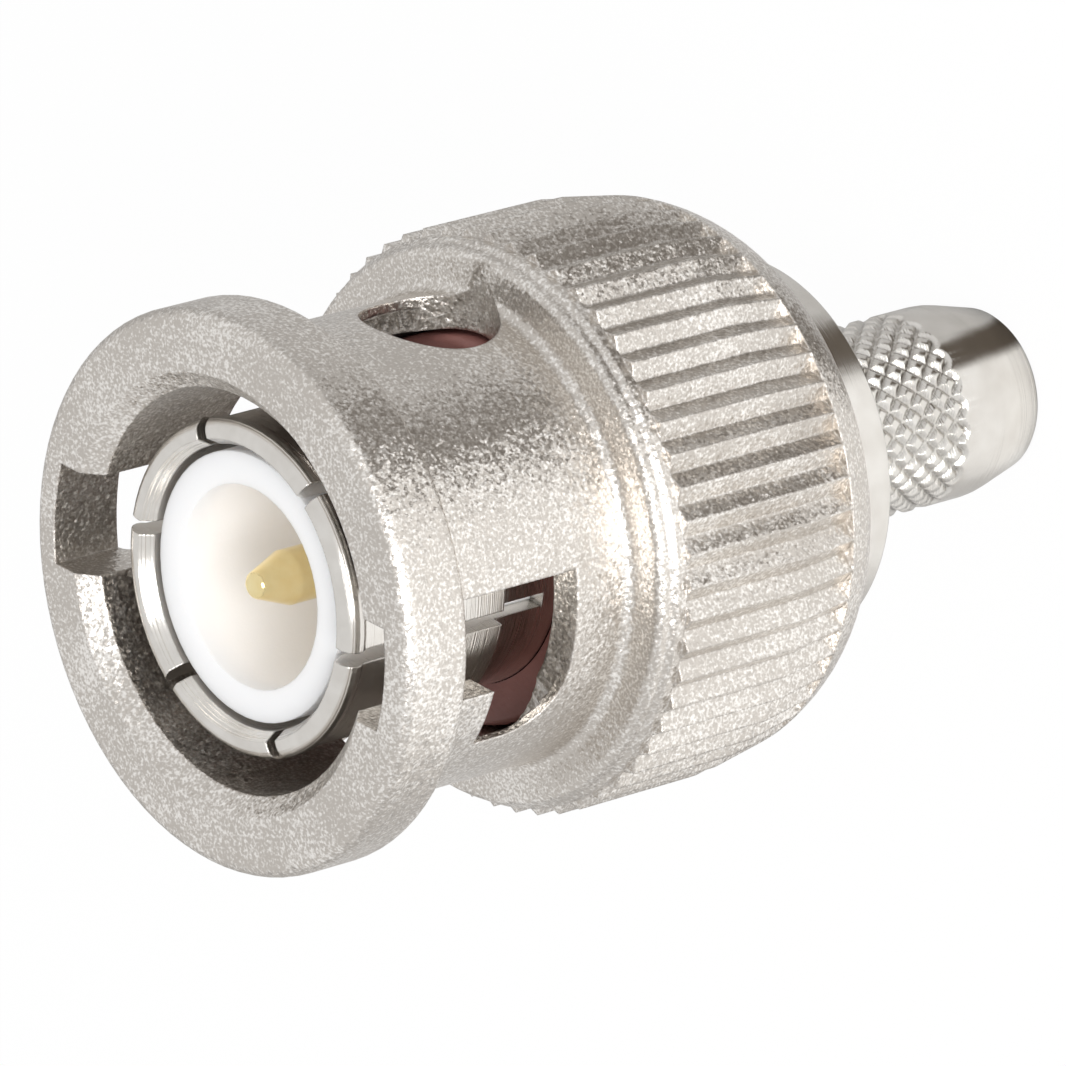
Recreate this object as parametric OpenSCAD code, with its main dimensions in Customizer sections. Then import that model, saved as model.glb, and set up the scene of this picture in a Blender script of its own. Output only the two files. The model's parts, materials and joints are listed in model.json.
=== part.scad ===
// Straight crimp plug with a turning bayonet sleeve, stood on its cable end.
// Millimetres. +Z points out of the mating face. Depths are measured back from that face.

/* [Overall] */
// Height from the cable end to the mating face
plug_length = 24.9; // [24.6:0.1:30]
// Radial gap between pieces that are pressed or crimped together
press_gap = 0.02; // [0.01:0.01:0.04]
// Radial gap where the sleeve turns and slides on the fixed pieces
turn_clearance = 0.08; // [0.05:0.01:0.1]

/* [Sleeve: ring and neck] */
// Across the plain ring at the mouth
ring_diameter = 13.8; // [13.5:0.1:14.3]
// Length of the ring along the axis
ring_width = 1.95; // [1.7:0.05:2.2]
// Rounding of the ring's front edge
ring_front_round = 0.4; // [0.2:0.05:0.6]
// Rounding of the ring's rear edge
ring_rear_round = 0.25; // [0.1:0.05:0.4]
// Bore that slides over the jack's barrel
sleeve_bore = 9.9; // [9.8:0.05:10.1]
// Width of the lead-in at the mouth, across and along
lead_in = 0.45; // [0.2:0.05:0.6]
// Across the neck behind the ring
neck_diameter = 11.6; // [11.5:0.1:12]
// Rounding in the corners at both ends of the neck
neck_fillet = 0.3; // [0.1:0.05:0.4]

/* [Sleeve: grip] */
// Depth of the grip's flat front face
grip_start = 7.9; // [7.7:0.1:8.4]
// Across the grip
grip_diameter = 14.5; // [14.2:0.1:14.9]
// Depth of the sleeve's rear edge
sleeve_end = 15.5; // [15.4:0.1:15.9]
// Length of the rounded shoulder at the rear of the grip
shoulder_length = 3.3; // [2.8:0.1:3.6]
// How far the shoulder falls
shoulder_drop = 1.6; // [1.3:0.05:1.65]
// Number of sharp ribs round the grip
rib_count = 56; // [40:2:64]
// Height of a rib above the grooves beside it
rib_height = 0.29; // [0.15:0.01:0.32]
// Length over which the ribs follow the shoulder before they end
rib_bend = 1.7; // [1.4:0.1:1.9]

/* [Sleeve: bayonet] */
// Width of each entry slot for a stud
slot_width = 2.6; // [2.3:0.1:2.8]
// Across the floors of the two notches in the ring
slot_span = 12.2; // [12.1:0.1:12.5]
// Depth at which the windows end
window_end = 6.25; // [6:0.05:6.5]
// Depth of the wall that a stud pulls against
ramp_front = 3.9; // [3.6:0.1:4.1]
// Angle from the middle of the entry slot to the window's far end
window_sweep = 29.5; // [27:0.5:32]
// Radius of the window's far rear corner
window_corner = 1.55; // [1.2:0.05:1.7]
// Angle from the entry slot to the locking hole
lock_sweep = 89; // [84:1:92]
// Depth of the locking hole's centre
lock_depth = 6.25; // [6:0.05:6.3]
// Across the locking hole
lock_diameter = 3.4; // [3:0.1:3.4]
// Across the tips of the jack's studs, with room to run
stud_span = 11; // [10.9:0.05:11.05]
// Width of the blind ramp that leads a stud to its hole
ramp_width = 2.3; // [2.1:0.1:2.4]

/* [Spring contact] */
// Number of fingers
finger_count = 6; // [4:1:8]
// Across the fingers
finger_diameter = 8.1; // [8:0.05:8.2]
// Across the beads at the finger tips
bead_diameter = 8.3; // [8.25:0.05:8.4]
// Depth of the finger tips
finger_setback = 0.6; // [0.5:0.05:0.8]
// Thickness of the fingers at the beads
finger_wall = 0.68; // [0.6:0.02:0.72]
// Width of the slits between the fingers
finger_slit = 0.36; // [0.25:0.01:0.45]
// Turn of the slits from the entry slots
slit_angle = -5; // [-15:1:15]
// Depth at which the fingers step down to the root
finger_step = 5.5; // [5.2:0.1:5.8]
// Across the contact's root
root_diameter = 7.5; // [7.45:0.05:7.6]
// Depth of the slits' inner ends
slit_end = 7; // [6.6:0.1:7.2]

/* [Gasket and springs] */
// Depth of the gasket's front face
gasket_start = 7.5; // [7.4:0.1:7.7]
// Across the gasket
gasket_diameter = 9.64; // [9.4:0.02:9.68]
// Depth of the shell flange's front face
flange_start = 8.65; // [8.6:0.05:8.8]
// Thickness of the shell's flange
flange_thick = 1; // [0.8:0.1:1.2]
// Free height of the two wave washers together
wave_space = 2.4; // [2.2:0.1:2.6]
// Thickness of a wave washer
wave_thick = 0.24; // [0.18:0.02:0.3]
// Width of the washers' rims, from the bore to the outer edge
washer_width = 0.65; // [0.5:0.01:0.65]
// Number of waves in a washer
wave_lobes = 3; // [2:1:4]
// Thickness of the thrust washer
thrust_thick = 0.5; // [0.4:0.05:0.6]
// Thickness of the sleeve's inner web
web_thick = 1.25; // [1.1:0.05:1.35]

/* [Shell and rear body] */
// Wall of the shell round the contact's root
shell_wall = 0.35; // [0.3:0.05:0.4]
// Across the polished ring
back_ring_diameter = 9.9; // [9.7:0.1:10.2]
// Depth of the polished ring's rear face
back_ring_end = 17.2; // [17:0.1:17.5]
// Across the crimp neck
crimp_diameter = 4.9; // [4.7:0.1:5.1]
// Cable bore through the crimp neck
cable_bore = 3.1; // [2.8:0.1:3.2]
// Length of the taper at the end of the crimp neck
crimp_taper = 1.5; // [1:0.1:1.8]
// How far the radius falls over that taper
crimp_taper_drop = 0.4; // [0.2:0.05:0.45]

/* [Insulators and pin] */
// Across the insulators
insulator_diameter = 6.6; // [6.5:0.02:6.62]
// Depth of the front insulator's face
insulator_setback = 1; // [0.9:0.05:1.2]
// Across the recess that takes the jack's insulator
recess_diameter = 5; // [4.9:0.05:5.2]
// Depth of the recess's floor
recess_end = 7; // [6.8:0.1:7.2]
// Depth of the joint between the two insulators
insulator_joint = 10.5; // [10:0.1:10.8]
// Across the pin
pin_diameter = 1.35; // [1.32:0.01:1.38]
// Depth of the pin's tip
pin_setback = 1.1; // [1:0.05:1.4]
// Length of the pin's cone
pin_cone = 1; // [0.8:0.1:1.2]
// Across the pin's shank, held in the front insulator
shank_diameter = 1.8; // [1.75:0.05:1.9]
// Across the pin's crimp barrel
barrel_diameter = 2.1; // [1.9:0.1:2.2]
// Bore of the crimp barrel for the cable's core
core_bore = 1; // [0.9:0.05:1.1]

/* [Hidden] */
$fn = 96;
// How far a cutter runs past the face it opens.
past = 1;
grip_r = grip_diameter / 2;
neck_r = neck_diameter / 2;
bore_r = sleeve_bore / 2;
ring_r = ring_diameter / 2;
// The rim in front of the ribs: a smooth lip, then a low ridge.
lip_r = grip_r - 0.35;
lip_round = 0.25;
ridge_start = grip_start + 0.3;
ridge_r = grip_r - 0.22;
ridge_chamfer = 0.15;
rib_start = grip_start + 0.7;
shoulder_start = sleeve_end - shoulder_length;
rib_bend_start = shoulder_start + 0.15;
rib_end = rib_bend_start + rib_bend;
tail_r = grip_r - shoulder_drop;
// The stack behind the shell's flange, from front to back.
stack_gap = 0.05;
flange_end = flange_start + flange_thick;
thrust_start = flange_end + wave_space;
web_start = thrust_start + thrust_thick + stack_gap;
web_end = web_start + web_thick;
back_ring_start = web_end + stack_gap;
shell_end = back_ring_start + 1.5;
back_ring_r = back_ring_diameter / 2;
counterbore_r = back_ring_r + 0.45;
flange_r = bore_r - turn_clearance;
root_r = root_diameter / 2;
shell_r = root_r + shell_wall;
web_r = shell_r + turn_clearance;
washer_clearance = 0.1;
washer_in_r = shell_r + washer_clearance;
washer_out_r = washer_in_r + washer_width;
chamber_r = washer_out_r + washer_clearance;
finger_r = finger_diameter / 2;
bead_r = bead_diameter / 2;
insulator_r = insulator_diameter / 2;
contact_bore_r = insulator_r + press_gap;
contact_end = 11.2;
crimp_r = crimp_diameter / 2;
cable_r = cable_bore / 2;
cavity_end = back_ring_end - 0.7;
cavity_r = insulator_r - 0.3;
barrel_start = 9;
shank_start = recess_end + press_gap;
barrel_end = cavity_end - 0.3;
pin_r = pin_diameter / 2;
shank_r = shank_diameter / 2;
barrel_r = barrel_diameter / 2;
// The stud's way: how far the window reaches across, and where the blind ramp runs.
way_reach = neck_r + 1;
window_reach = neck_r * sin(window_sweep);
ramp_floor_r = stud_span / 2;
ramp_overlap = 8;
ramp_passes = 11;

// Height of a plane that lies a given depth behind the mating face.
function up(depth) = plug_length - depth;

// Points of a quarter round, from angle a0 to a1, about (r, depth).
function arc(r, depth, radius, a0, a1, steps = 6) =
    [for (i = [0:steps])
        let (a = a0 + (a1 - a0) * i / steps)
        [r + radius * cos(a), up(depth) + radius * sin(a)]];

// A ring between two radii and two depths.
module ring(inner, outer, front, back) {
    rotate_extrude()
        translate([inner, up(back)])
            square([outer - inner, back - front]);
}

// A round bar between two depths.
module bar(radius, front, back) {
    translate([0, 0, up(back)])
        cylinder(r = radius, h = back - front);
}

// A radial cutter from the bore outward.
module radial_cutter(radius, depth, angle, reach) {
    rotate([0, 0, angle])
        translate([0, 0, up(depth)])
            rotate([0, 90, 0])
                cylinder(r = radius, h = reach);
}

// ---- coupling sleeve ----

// How far the shoulder has fallen at a depth.
function shoulder_fall(depth) =
    shoulder_drop * (1 - sqrt(1 - pow((depth - shoulder_start) / shoulder_length, 2)));

// Ring, neck, and the plain rim of the grip.
module sleeve_front() {
    rotate_extrude()
        polygon(concat(
            [[0, up(rib_start)], [0, up(0)]],
            arc(ring_r - ring_front_round, ring_front_round, ring_front_round, 90, 0),
            arc(ring_r - ring_rear_round, ring_width - ring_rear_round, ring_rear_round, 0, -90),
            arc(neck_r + neck_fillet, ring_width + neck_fillet, neck_fillet, 90, 180),
            arc(neck_r + neck_fillet, grip_start - neck_fillet, neck_fillet, 180, 270),
            arc(lip_r - lip_round, grip_start + lip_round, lip_round, 90, 0),
            [[lip_r, up(ridge_start)],
             [ridge_r, up(ridge_start + ridge_chamfer)],
             [ridge_r, up(rib_start)]]
        ));
}

// Outer form of the grip and its shoulder, before the ribs are cut.
module grip_form() {
    shoulder_steps = 14;
    rotate_extrude()
        polygon(concat(
            [[0, up(sleeve_end)], [0, up(rib_start)], [grip_r, up(rib_start)]],
            [for (i = [0:shoulder_steps])
                let (a = 90 * i / shoulder_steps)
                [tail_r + shoulder_drop * cos(a), up(shoulder_start + shoulder_length * sin(a))]]
        ));
}

// Cross-section of the ribs: a star with sharp crests and grooves.
module rib_section() {
    polygon([for (i = [0:2 * rib_count - 1])
        let (a = 180 * i / rib_count)
        let (r = i % 2 == 0 ? grip_r : grip_r - rib_height)
        [r * cos(a), r * sin(a)]]);
}

// The grip: straight ribs that bend in with the shoulder and stop short on it.
module grip() {
    bend_scale = 1 - shoulder_fall(rib_end) / grip_r;
    intersection() {
        grip_form();
        union() {
            translate([0, 0, up(rib_bend_start)])
                linear_extrude(rib_bend_start - rib_start)
                    rib_section();
            translate([0, 0, up(rib_end)])
                linear_extrude(rib_bend, scale = 1 / bend_scale)
                    scale(bend_scale)
                        rib_section();
            bar(grip_r, rib_end, sleeve_end + past);
        }
    }
}

// Face-on outline of the window beside the slot, with its far rear corner rounded.
module window_outline() {
    intersection() {
        translate([-window_reach, up(window_end)])
            square([window_reach, window_end - ramp_front]);
        union() {
            translate([-window_reach, up(window_end - window_corner)])
                square([window_reach, window_end]);
            translate([window_corner - window_reach, up(window_end)])
                square([window_reach, window_end]);
            translate([window_corner - window_reach, up(window_end - window_corner)])
                circle(r = window_corner);
        }
    }
}

// One stud's way in: the entry slot, the open window and the blind ramp to the hole.
module stud_way() {
    // entry slot through the ring's bore and the neck
    intersection() {
        translate([0, -slot_width / 2, up(window_end)])
            cube([way_reach, slot_width, window_end + past]);
        bar(slot_span / 2, -past, window_end + past);
    }
    rotate([90, 0, 90])
        linear_extrude(way_reach)
            window_outline();
    // blind ramp, a run of stud-wide passes that ends inside the hole
    for (i = [0:ramp_passes - 1])
        let (t = i / (ramp_passes - 1))
        let (turn = ramp_overlap - window_sweep - t * (lock_sweep + ramp_overlap / 2 - window_sweep))
        let (front = ramp_front + t * (lock_depth - ramp_width / 2 - ramp_front))
        radial_cutter(ramp_width / 2, front + ramp_width / 2, turn, ramp_floor_r);
    // locking hole
    radial_cutter(lock_diameter / 2, lock_depth, -lock_sweep, way_reach);
}

module coupling_sleeve() {
    color([0.76, 0.75, 0.73])
    difference() {
        union() {
            sleeve_front();
            grip();
        }
        bar(bore_r, -past, web_start);
        bar(chamber_r, flange_end, web_start);
        bar(web_r, 0, sleeve_end + past);
        bar(counterbore_r, web_end, sleeve_end + past);
        // lead-in at the mouth
        rotate_extrude()
            polygon([[bore_r - past, up(lead_in + past)], [bore_r - past, up(-past)],
                [bore_r + lead_in + past, up(-past)]]);
        for (turn = [0, 180])
            rotate([0, 0, turn])
                stud_way();
    }
}

// ---- fixed outer contact ----

module spring_contact() {
    bead_round = 0.35;
    bead_end = finger_setback + 0.9;
    tip_bevel = 0.2;
    foot_taper = 0.4;
    inner_r = bead_r - finger_wall;
    color([0.83, 0.83, 0.82])
    difference() {
        rotate_extrude()
            polygon(concat(
                [[contact_bore_r, up(contact_end)],
                 [contact_bore_r, up(finger_step)],
                 [inner_r, up(finger_step - foot_taper)],
                 [inner_r, up(finger_setback + bead_round)],
                 [inner_r + tip_bevel, up(finger_setback)]],
                arc(bead_r - bead_round, finger_setback + bead_round, bead_round, 90, -40),
                [[finger_r, up(bead_end)],
                 [finger_r, up(finger_step)],
                 [root_r, up(finger_step)],
                 [root_r, up(contact_end)]]
            ));
        for (i = [0:finger_count - 1])
            rotate([0, 0, slit_angle + i * 360 / finger_count])
                translate([0, -finger_slit / 2, up(slit_end)])
                    cube([bead_r + past, finger_slit, slit_end]);
    }
}

module gasket() {
    inner = root_r + press_gap;
    outer = gasket_diameter / 2;
    back = flange_start - press_gap;
    edge_round = 0.2;
    color([0.45, 0.27, 0.24])
    rotate_extrude()
        polygon(concat(
            [[inner, up(back)], [inner, up(gasket_start)]],
            arc(outer - edge_round, gasket_start + edge_round, edge_round, 90, 0),
            [[outer, up(back)]]
        ));
}

// Shell that carries the contact, with the flange that the springs bear on.
module front_body() {
    color([0.8, 0.8, 0.79])
    difference() {
        union() {
            bar(shell_r, flange_start, shell_end);
            bar(flange_r, flange_start, flange_end);
        }
        bar(root_r + press_gap, 0, contact_end + press_gap);
        bar(insulator_r + press_gap, 0, shell_end + past);
    }
}

// Polished ring and crimp neck, turned from one bar.
module rear_body() {
    edge = 0.12;
    seat = shell_end + 0.1;
    color([0.8, 0.8, 0.79])
    rotate_extrude()
        polygon([
            [cable_r, up(plug_length)],
            [cable_r, up(cavity_end)],
            [cavity_r, up(cavity_end)],
            [cavity_r, up(seat)],
            [shell_r + press_gap, up(seat)],
            [shell_r + press_gap, up(back_ring_start)],
            [back_ring_r - edge, up(back_ring_start)],
            [back_ring_r, up(back_ring_start + edge)],
            [back_ring_r, up(back_ring_end - edge)],
            [back_ring_r - edge, up(back_ring_end)],
            [crimp_r, up(back_ring_end)],
            [crimp_r, up(plug_length - crimp_taper)],
            [crimp_r - crimp_taper_drop, up(plug_length)]
        ]);
}

// ---- springs and washers ----

// A thin ring whose height follows waves round the axis, one of two in the stack.
module wave_washer(index) {
    steps = 72;
    touch_gap = 0.02;
    height = wave_space / 2;
    middle = flange_end + (index - 0.5) * height;
    swing = (height - wave_thick) / 2 - touch_gap;
    section = [[washer_in_r, -0.5], [washer_out_r, -0.5], [washer_out_r, 0.5], [washer_in_r, 0.5]];
    points = [for (i = [0:steps - 1], corner = section)
        let (a = i * 360 / steps)
        [corner[0] * cos(a), corner[0] * sin(a),
         up(middle) + swing * cos(wave_lobes * a) + corner[1] * wave_thick]];
    faces = [for (i = [0:steps - 1], k = [0:3])
        let (j = (i + 1) % steps, m = (k + 1) % 4)
        [4 * i + k, 4 * i + m, 4 * j + m, 4 * j + k]];
    color([0.7, 0.7, 0.68])
    polyhedron(points, faces);
}

module thrust_washer() {
    color([0.78, 0.78, 0.76])
    ring(washer_in_r, washer_out_r, thrust_start, thrust_start + thrust_thick);
}

// ---- insulators and pin ----

module front_insulator() {
    color([0.93, 0.93, 0.92])
    difference() {
        bar(insulator_r, insulator_setback, insulator_joint);
        bar(recess_diameter / 2, 0, recess_end);
        bar(shank_r + press_gap, 0, insulator_joint + past);
        bar(barrel_r + press_gap, barrel_start - press_gap, insulator_joint + past);
    }
}

module rear_insulator() {
    front = insulator_joint + press_gap;
    color([0.93, 0.93, 0.92])
    difference() {
        union() {
            bar(insulator_r, front, shell_end);
            bar(cavity_r - press_gap, front, cavity_end - press_gap);
        }
        bar(barrel_r + press_gap, front - past, cavity_end + past);
    }
}

module center_pin() {
    tip_r = 0.2;
    tip_round = 0.15;
    core_depth = 4;
    color([0.85, 0.68, 0.3])
    difference() {
        rotate_extrude()
            polygon(concat(
                [[0, up(barrel_end)], [0, up(pin_setback)]],
                arc(tip_r, pin_setback + tip_round, tip_round, 90, 20, 4),
                [[pin_r, up(pin_setback + pin_cone)],
                 [pin_r, up(shank_start)],
                 [shank_r, up(shank_start)],
                 [shank_r, up(barrel_start)],
                 [barrel_r, up(barrel_start)],
                 [barrel_r, up(barrel_end)]]
            ));
        bar(core_bore / 2, barrel_end - core_depth, barrel_end + past);
    }
}

coupling_sleeve();
spring_contact();
front_insulator();
rear_insulator();
center_pin();
gasket();
front_body();
rear_body();
wave_washer(1);  // wave_washer_1
wave_washer(2);  // wave_washer_2
thrust_washer();
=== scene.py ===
import json
import math
import bpy
from mathutils import Matrix, Vector


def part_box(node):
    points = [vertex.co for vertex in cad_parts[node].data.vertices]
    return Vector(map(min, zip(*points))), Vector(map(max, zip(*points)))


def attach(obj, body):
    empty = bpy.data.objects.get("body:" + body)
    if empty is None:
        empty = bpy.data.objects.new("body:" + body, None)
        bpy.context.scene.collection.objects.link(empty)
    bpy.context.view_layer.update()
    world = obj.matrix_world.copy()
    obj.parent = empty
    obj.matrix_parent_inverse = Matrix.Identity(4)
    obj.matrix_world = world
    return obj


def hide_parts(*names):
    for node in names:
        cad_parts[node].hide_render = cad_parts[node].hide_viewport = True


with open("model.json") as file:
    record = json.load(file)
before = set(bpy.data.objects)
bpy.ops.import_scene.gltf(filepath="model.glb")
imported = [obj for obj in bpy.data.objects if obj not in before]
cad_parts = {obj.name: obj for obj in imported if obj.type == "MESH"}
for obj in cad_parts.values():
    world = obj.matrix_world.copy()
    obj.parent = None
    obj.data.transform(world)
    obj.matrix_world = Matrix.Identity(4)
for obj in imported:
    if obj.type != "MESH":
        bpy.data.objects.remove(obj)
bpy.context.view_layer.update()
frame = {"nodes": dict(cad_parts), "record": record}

mm = 0.001
print("frame loaded:", len(frame["nodes"]), "pieces")


# shader tools

class Wire:
    # a node output that can be used in sums

    def __init__(self, tree, socket):
        self.tree = tree
        self.socket = socket

    def math(self, operation, *values):
        node = self.tree.nodes.new("ShaderNodeMath")
        node.operation = operation
        for place, value in zip(node.inputs, values):
            feed(self.tree, place, value)
        return Wire(self.tree, node.outputs[0])

    def __add__(self, other):
        return self.math("ADD", self, other)

    def __radd__(self, other):
        return self.math("ADD", other, self)

    def __sub__(self, other):
        return self.math("SUBTRACT", self, other)

    def __rsub__(self, other):
        return self.math("SUBTRACT", other, self)

    def __mul__(self, other):
        return self.math("MULTIPLY", self, other)

    def __rmul__(self, other):
        return self.math("MULTIPLY", other, self)


def feed(tree, place, value):
    # links a wire, or sets a plain value
    if isinstance(value, Wire):
        tree.links.new(value.socket, place)
    elif place.type == "RGBA" and len(value) == 3:
        place.default_value = (*value, 1)
    else:
        place.default_value = value


class Finish:
    # one procedural material and the nodes in it

    def __init__(self, name):
        self.material = bpy.data.materials.new(name)
        self.material.use_nodes = True
        self.tree = self.material.node_tree
        self.shader = self.tree.nodes["Principled BSDF"]

    def add(self, kind, output=0, settings=None, **values):
        node = self.tree.nodes.new("ShaderNode" + kind)
        for name, value in (settings or {}).items():
            setattr(node, name, value)
        for name, value in values.items():
            key = int(name.removeprefix("input")) if name.startswith("input") else name.replace("_", " ")
            feed(self.tree, node.inputs[key], value)
        return Wire(self.tree, node.outputs[output])

    def vector(self, operation, output=0, **values):
        return self.add("VectorMath", output=output, settings={"operation": operation}, **values)

    def noise(self, coords, scale, detail=2.0, roughness=0.5):
        return self.add("TexNoise", Vector=coords, Scale=scale, Detail=detail, Roughness=roughness)

    def ramp(self, value, start, end):
        # climbs softly from 0 to 1 between two values
        wire = self.add("ValToRGB", Fac=value)
        scale = wire.socket.node.color_ramp
        scale.interpolation = "EASE"
        scale.elements[0].position = start
        scale.elements[1].position = end
        return wire

    def sway(self, middle, swing, wave):
        # a value that wanders round its middle
        return middle + (wave - 0.5) * swing

    def blend(self, factor, first, second):
        # sockets 6 and 7 take the two colours
        sides = {"input6": first, "input7": second}
        return self.add("Mix", output=2, settings={"data_type": "RGBA"}, Factor=factor, **sides)

    def set(self, **values):
        for name, value in values.items():
            feed(self.tree, self.shader.inputs[name.replace("_", " ")], value)

    def softEdge(self, radius, samples=4):
        # a normal that rounds sharp corners
        return self.add("Bevel", settings={"samples": samples}, Radius=radius * mm)

    def relief(self, height, normal=None):
        # bump from a height in millimetres
        below = {} if normal is None else {"Normal": normal}
        return self.add("Bump", Height=height, Distance=mm, Strength=1.0, **below)

    def flakes(self, coords, scale, tilt, normal):
        # small facets that each lean their own way
        cell = self.add("TexVoronoi", output=1, Vector=coords, Scale=scale, Randomness=1.0)
        lean = self.vector("SUBTRACT", input0=cell, input1=(0.5, 0.5, 0.5))
        lean = self.vector("SCALE", input0=lean, Scale=tilt)
        tilted = self.vector("ADD", input0=normal, input1=lean)
        return self.vector("NORMALIZE", input0=tilted)

    def surface(self):
        # object coordinates in millimetres
        place = self.add("TexCoord", output=3)
        return self.vector("SCALE", input0=place, Scale=1 / mm)


# finishes, one for each material slot

castNickel = {
    "dark": (0.60, 0.56, 0.515), "light": (0.97, 0.94, 0.90),
    "flakeScale": 13.0, "flakeTilt": 0.26,
    "grainScale": 7.0, "grainDepth": 0.022,
    "lumpScale": 2.2, "lumpDepth": 0.02,
    "patchScale": 0.4, "patchShare": 0.2, "grainShare": 0.2, "paintedGlintShare": 0.6,
    "glintRampStart": 0.44, "glintRampFull": 0.66,
    "roughLow": 0.26, "roughHigh": 0.40, "edge": 0.09,
}


def makeCastNickel():
    c = castNickel
    f = Finish("cast_nickel")
    at = f.surface()
    grain = f.noise(at, c["grainScale"])
    lump = f.noise(at, c["lumpScale"], roughness=0.4)
    patch = f.noise(at, c["patchScale"], detail=1.0)
    edge = f.softEdge(c["edge"], samples=6)
    flake = f.flakes(at, c["flakeScale"], c["flakeTilt"], edge)
    bump = f.relief(grain * c["grainDepth"] + lump * c["lumpDepth"], flake)
    # painted highlights: fine bright specks in the base colour stand in for glints, mixed with random
    # patch and grain tone
    paintedGlint = f.noise(at, c["flakeScale"], detail=1.0)
    toneAndGlint = patch * c["patchShare"] + grain * c["grainShare"] + paintedGlint * c["paintedGlintShare"]
    tone = f.ramp(toneAndGlint, c["glintRampStart"], c["glintRampFull"])
    f.set(Base_Color=f.blend(tone, c["dark"], c["light"]), Metallic=1.0,
          Roughness=c["roughLow"] + (c["roughHigh"] - c["roughLow"]) * grain, Normal=bump)
    return f.material


brightNickel = {
    "dark": (0.66, 0.625, 0.58), "light": (0.88, 0.86, 0.825), "cloudScale": 1.4, "cloudDepth": 0.01,
    "paintedGrooveShade": (0.13, 0.115, 0.095), "grooveReach": 0.22, "grooveStart": 0.30, "grooveEnd": 0.85,
    "roughness": 0.19, "roughSwing": 0.08, "lathe": 22.0, "latheDepth": 0.009, "edge": 0.06,
}


def makeBrightNickel():
    c = brightNickel
    f = Finish("nickel_plate")
    at = f.surface()
    height = f.add("SeparateXYZ", output=2, Vector=at)
    lathe = f.add("TexNoise", settings={"noise_dimensions": "1D"}, W=height, Scale=c["lathe"], Detail=2.0)
    cloud = f.noise(at, c["cloudScale"])
    edge = f.softEdge(c["edge"])
    bump = f.relief(lathe * c["latheDepth"] + cloud * c["cloudDepth"], edge)
    # painted shade: the base colour darkens in grooves and slits by ambient occlusion
    clear = f.add("AmbientOcclusion", output=1, settings={"samples": 6}, Distance=c["grooveReach"] * mm)
    clear = f.ramp(clear, c["grooveStart"], c["grooveEnd"])
    tone = f.blend(cloud, c["dark"], c["light"])
    f.set(Base_Color=f.blend(clear, c["paintedGrooveShade"], tone), Metallic=1.0,
          Roughness=f.sway(c["roughness"], c["roughSwing"], lathe), Normal=bump)
    return f.material


whiteInsulator = {
    "face": (0.87, 0.87, 0.88), "recess": (0.87, 0.85, 0.836), "faceHeight": 23.9, "fade": 0.9,
    "cloudScale": 0.8, "grainScale": 9.0, "grainDepth": 0.004, "roughness": 0.42, "roughSwing": 0.1,
    "glow": 0.10, "softWeight": 0.6, "softReach": 0.8, "softColour": (1.0, 0.95, 0.92), "edge": 0.06,
}


def makeWhiteInsulator():
    c = whiteInsulator
    f = Finish("white_insulator")
    at = f.surface()
    cloud = f.noise(at, c["cloudScale"])
    height = f.add("SeparateXYZ", output=2, Vector=at)
    depth = (c["faceHeight"] - height) * (1 / c["fade"])
    recessLightMask = f.ramp(depth, 0.0, 1.0)
    edge = f.softEdge(c["edge"])
    bump = f.relief(f.noise(at, c["grainScale"]) * c["grainDepth"], edge)
    # painted light: below the face the base colour turns warmer, for the warm light that fills the recess
    f.set(Base_Color=f.blend(recessLightMask, c["face"], c["recess"]),
          Roughness=f.sway(c["roughness"], c["roughSwing"], cloud), Normal=bump)
    # a weak glow stands for light that soaks through the wall
    f.set(Emission_Color=f.blend(recessLightMask, (0, 0, 0), c["recess"]))
    f.shader.inputs["Emission Strength"].default_value = c["glow"]
    f.shader.inputs["Subsurface Weight"].default_value = c["softWeight"]
    f.shader.inputs["Subsurface Scale"].default_value = c["softReach"] * mm
    f.shader.inputs["Subsurface Radius"].default_value = c["softColour"]
    return f.material


goldPlate = {
    "dark": (0.90, 0.71, 0.33), "light": (1.0, 0.87, 0.52), "cloudScale": 2.5, "cloudDepth": 0.004,
    "roughness": 0.10, "roughSwing": 0.06, "edge": 0.05,
}


def makeGoldPlate():
    c = goldPlate
    f = Finish("gold_plate")
    at = f.surface()
    cloud = f.noise(at, c["cloudScale"])
    bump = f.relief(cloud * c["cloudDepth"], f.softEdge(c["edge"]))
    f.set(Base_Color=f.blend(cloud, c["dark"], c["light"]), Metallic=1.0,
          Roughness=f.sway(c["roughness"], c["roughSwing"], cloud), Normal=bump)
    return f.material


redSilicone = {
    "dark": (0.26, 0.105, 0.09), "light": (0.36, 0.16, 0.14), "cloudScale": 1.6,
    "grainScale": 8.0, "grainDepth": 0.012, "roughness": 0.5, "roughSwing": 0.15,
}


def makeRedSilicone():
    c = redSilicone
    f = Finish("red_silicone")
    at = f.surface()
    cloud = f.noise(at, c["cloudScale"], detail=3.0, roughness=0.6)
    bump = f.relief(f.noise(at, c["grainScale"]) * c["grainDepth"])
    f.set(Base_Color=f.blend(cloud, c["dark"], c["light"]),
          Roughness=f.sway(c["roughness"], c["roughSwing"], cloud), Normal=bump)
    return f.material


springSteel = {
    "dark": (0.42, 0.41, 0.40), "light": (0.60, 0.59, 0.57), "cloudScale": 2.0,
    "grainScale": 6.0, "grainDepth": 0.01, "roughness": 0.32, "roughSwing": 0.12,
}


def makeSpringSteel():
    c = springSteel
    f = Finish("spring_steel")
    at = f.surface()
    cloud = f.noise(at, c["cloudScale"])
    bump = f.relief(f.noise(at, c["grainScale"]) * c["grainDepth"])
    f.set(Base_Color=f.blend(cloud, c["dark"], c["light"]), Metallic=1.0,
          Roughness=f.sway(c["roughness"], c["roughSwing"], cloud), Normal=bump)
    return f.material


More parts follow.
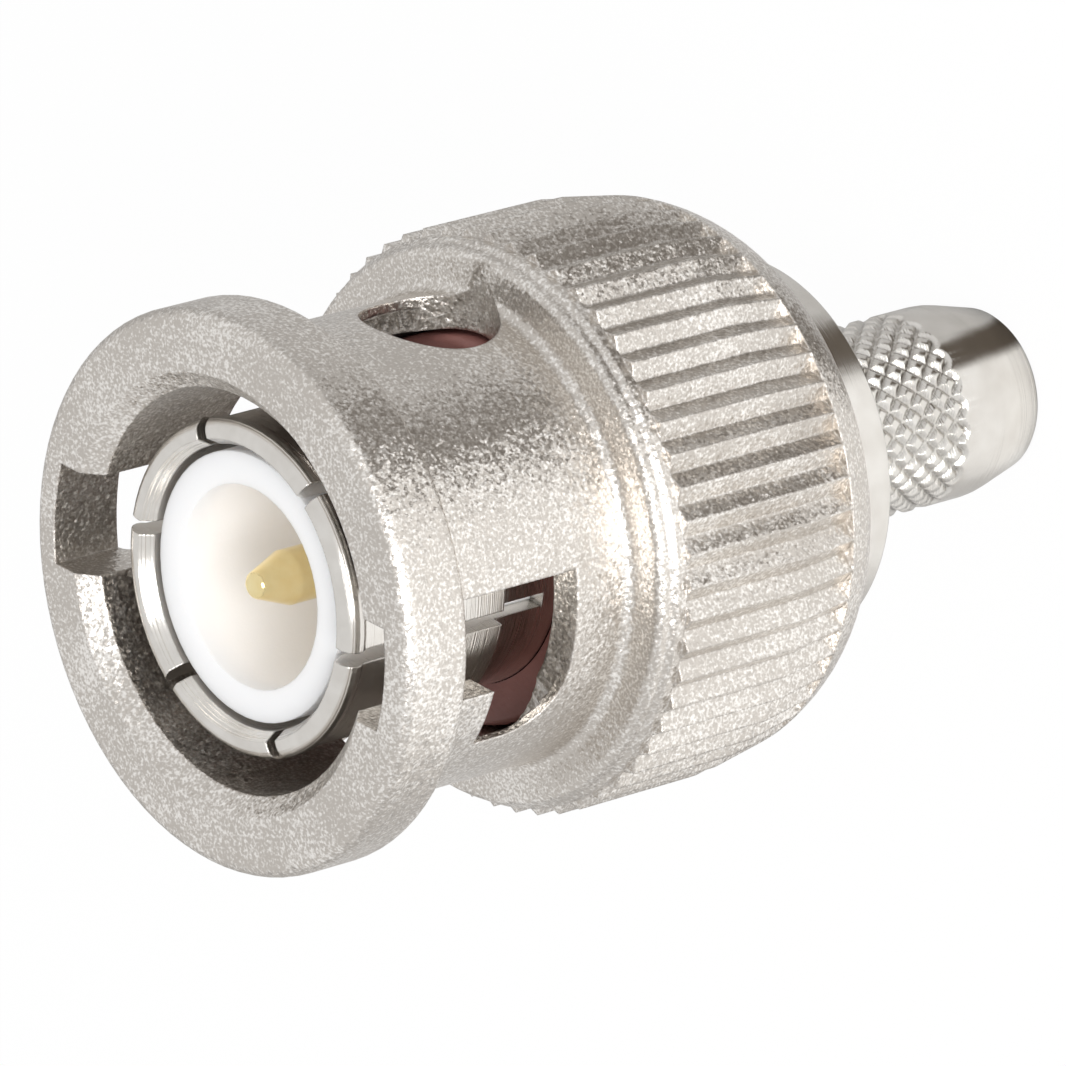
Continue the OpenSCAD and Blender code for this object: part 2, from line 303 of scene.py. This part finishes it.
finishes = {
    "cast_nickel": makeCastNickel(), "nickel_plate": makeBrightNickel(),
    "white_insulator": makeWhiteInsulator(), "gold_plate": makeGoldPlate(),
    "red_silicone": makeRedSilicone(), "spring_steel": makeSpringSteel(),
}
for row in frame["record"]["subparts"]:
    mesh = frame["nodes"][row["node"]].data
    mesh.materials.clear()
    mesh.materials.append(finishes[row["material_slot"]])
print("finishes:", len(finishes))


# turned rear body with its diamond knurl

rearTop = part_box("rear_body")[1].z / mm
rearBody = {
    "cableBore": 1.55, "cavity": 3.0, "cavityFloor": 8.4, "seat": 9.4, "shellBore": 4.12,
    "ring": 4.95, "ringBack": 7.7, "ringRound": 0.14, "neck": 2.45, "around": 384, "sharpAngle": 40,
}
# heights near the cable end, and how far the radius has fallen there
taperFall = [(1.75, 0.0), (1.5, 0.02), (1.25, 0.07), (0.12, 0.35), (0.03, 0.42), (0.0, 0.50)]
knurl = {
    "starts": 24, "pitch": 0.69, "depth": 0.14, "flat": 0.62,
    "low": 2.72, "high": 7.62, "rows": 180, "fade": 0.12,
}


def roundCorner(radius, height, size, fromAngle, toAngle, steps=6):
    turns = [math.radians(fromAngle + (toAngle - fromAngle) * i / steps) for i in range(steps + 1)]
    return [(radius + size * math.cos(t), height + size * math.sin(t)) for t in turns]


def rearProfile():
    b, k = rearBody, knurl
    soft = b["ringRound"]
    points = [
        (b["cableBore"], b["cavityFloor"]), (b["cavity"], b["cavityFloor"]), (b["cavity"], b["seat"]),
        (b["shellBore"], b["seat"]), (b["shellBore"], rearTop),
    ]
    points += roundCorner(b["ring"] - soft, rearTop - soft, soft, 90, 0)
    points += roundCorner(b["ring"] - soft, b["ringBack"] + soft, soft, 0, -90)
    points += [(b["neck"], b["ringBack"])]
    step = (k["low"] - k["high"]) / k["rows"]
    points += [(b["neck"], k["high"] + step * i) for i in range(k["rows"] + 1)]
    points += [(b["neck"] - fall, height) for height, fall in taperFall]
    points += [(b["cableBore"], 0.0)]
    return points


def knurlDrop(turn, height):
    # how far the metal is pressed in: two sets of grooves that cross
    k = knurl
    if not k["low"] <= height <= k["high"]:
        return 0
    around = k["starts"] * turn / (2 * math.pi)
    along = height / k["pitch"]
    left = abs((around + along) % 1 - 0.5) * 2
    right = abs((around - along) % 1 - 0.5) * 2
    ends = min(1, (height - k["low"]) / k["fade"], (k["high"] - height) / k["fade"])
    return (1 - min(left, right, k["flat"]) / k["flat"]) * k["depth"] * ends


def makeRearBody(name):
    b = rearBody
    profile = rearProfile()
    verts, faces = [], []
    for radius, height in profile:
        for col in range(b["around"]):
            turn = 2 * math.pi * col / b["around"]
            r = radius - knurlDrop(turn, height)
            verts.append((r * math.cos(turn) * mm, r * math.sin(turn) * mm, height * mm))
    rows = len(profile)
    for row in range(rows):
        for col in range(b["around"]):
            a = row * b["around"] + col
            c = row * b["around"] + (col + 1) % b["around"]
            below = (row + 1) % rows * b["around"] - row * b["around"]
            faces.append((a, a + below, c + below, c))
    mesh = bpy.data.meshes.new(name)
    mesh.from_pydata(verts, [], faces)
    mesh.shade_smooth()
    mesh.set_sharp_from_angle(angle=math.radians(b["sharpAngle"]))
    mesh.materials.append(finishes["nickel_plate"])
    obj = bpy.data.objects.new(name, mesh)
    bpy.context.scene.collection.objects.link(obj)
    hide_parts("rear_body")
    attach(obj, "fixed")


makeRearBody("knurled_rear_body")
print("rear body turned and knurled")


# floor, light and camera

studio = {
    "floorSize": 4.0, "floorRough": 0.9, "floorGloss": 0.1, "shine": 0.95, "sky": 0.80,
    "paper": (0.95, 0.95, 0.945), "grey": (0.60, 0.595, 0.59),
    "brightTurn": 185.0, "brightWidth": (0.25, 0.80),
    "paintedDarkPatch": (0.115, 0.096, 0.078), "darkPatchTurn": 248.0, "darkPatchWidth": (0.945, 0.99),
}


def makeFloor():
    s = studio
    size = s["floorSize"]
    mesh = bpy.data.meshes.new("floor")
    corners = [(-size, -size, 0), (size, -size, 0), (size, size, 0), (-size, size, 0)]
    mesh.from_pydata(corners, [], [(0, 1, 2, 3)])
    floor = bpy.data.objects.new("floor", mesh)
    bpy.context.scene.collection.objects.link(floor)
    f = Finish("floor_paper")
    at = f.vector("NORMALIZE", input0=f.surface())

    def facing(turn):
        # cosine of the angle round the part from one side
        side = (math.cos(math.radians(turn)), math.sin(math.radians(turn)), 0)
        return f.vector("DOT_PRODUCT", output=1, input0=at, input1=side)

    # painted reflections: metal mirrors a floor painted greyer than the camera sees, with a painted pool
    # of light and one painted dark patch that stands in for a dark card
    bright = f.ramp(facing(s["brightTurn"]), *s["brightWidth"])
    paintedDarkPatch = f.ramp(facing(s["darkPatchTurn"]), *s["darkPatchWidth"])
    paper = f.blend(bright, s["grey"], s["paper"])
    paintedReflections = f.blend(paintedDarkPatch, paper, s["paintedDarkPatch"])
    cameraSees = f.add("LightPath")
    f.set(Base_Color=f.blend(cameraSees, paintedReflections, s["paper"]), Roughness=s["floorRough"])
    f.shader.inputs["Specular IOR Level"].default_value = s["floorGloss"]
    white = f.add("Emission", Color=(1, 1, 1), Strength=1.0)
    lit = Wire(f.tree, f.shader.outputs[0])
    shown = f.add("MixShader", input0=cameraSees * s["shine"], input1=lit, input2=white)
    f.tree.links.new(shown.socket, f.tree.nodes["Material Output"].inputs["Surface"])
    mesh.materials.append(f.material)


makeFloor()

world = bpy.data.worlds.new("studio")
bpy.context.scene.world = world
world.use_nodes = True
world.node_tree.nodes["Background"].inputs["Color"].default_value = (1, 1, 1, 1)
world.node_tree.nodes["Background"].inputs["Strength"].default_value = studio["sky"]

camera = {
    "target": (-0.257, 0.460, 15.142), "distance": 266.13, "azimuth": 299.185, "elevation": 38.905,
    "roll": -105.202, "lens": 372.28, "sensor": 36, "near": 0.01, "far": 20,
}


def backward(azimuth, elevation):
    a, e = math.radians(azimuth), math.radians(elevation)
    return Vector((math.sin(a) * math.cos(e), -math.cos(a) * math.cos(e), math.sin(e)))


def makeCamera():
    c = camera
    data = bpy.data.cameras.new("camera")
    data.lens = c["lens"]
    data.sensor_width = c["sensor"]
    data.clip_start = c["near"]
    data.clip_end = c["far"]
    obj = bpy.data.objects.new("camera", data)
    bpy.context.scene.collection.objects.link(obj)
    back = backward(c["azimuth"], c["elevation"])
    roll = Matrix.Rotation(math.radians(c["roll"]), 3, "Z")
    turned = (-back).to_track_quat("-Z", "Y").to_matrix() @ roll
    place = (Vector(c["target"]) + back * c["distance"]) * mm
    obj.matrix_world = Matrix.Translation(place) @ turned.to_4x4()
    bpy.context.scene.camera = obj


makeCamera()

# in metres
keyLamp = {"at": (-0.17, -0.04, 0.12), "aim": (0, 0, 0.014), "size": 0.12, "power": 0.28}


def makeKeyLamp():
    k = keyLamp
    data = bpy.data.lights.new("key", "AREA")
    data.shape = "DISK"
    data.size = k["size"]
    data.energy = k["power"]
    obj = bpy.data.objects.new("key", data)
    bpy.context.scene.collection.objects.link(obj)
    obj.location = k["at"]
    aim = Vector(k["aim"]) - Vector(k["at"])
    obj.rotation_mode = "QUATERNION"
    obj.rotation_quaternion = aim.to_track_quat("-Z", "Y")


makeKeyLamp()

bpy.context.scene.view_settings.view_transform = "Standard"
print("studio ready")
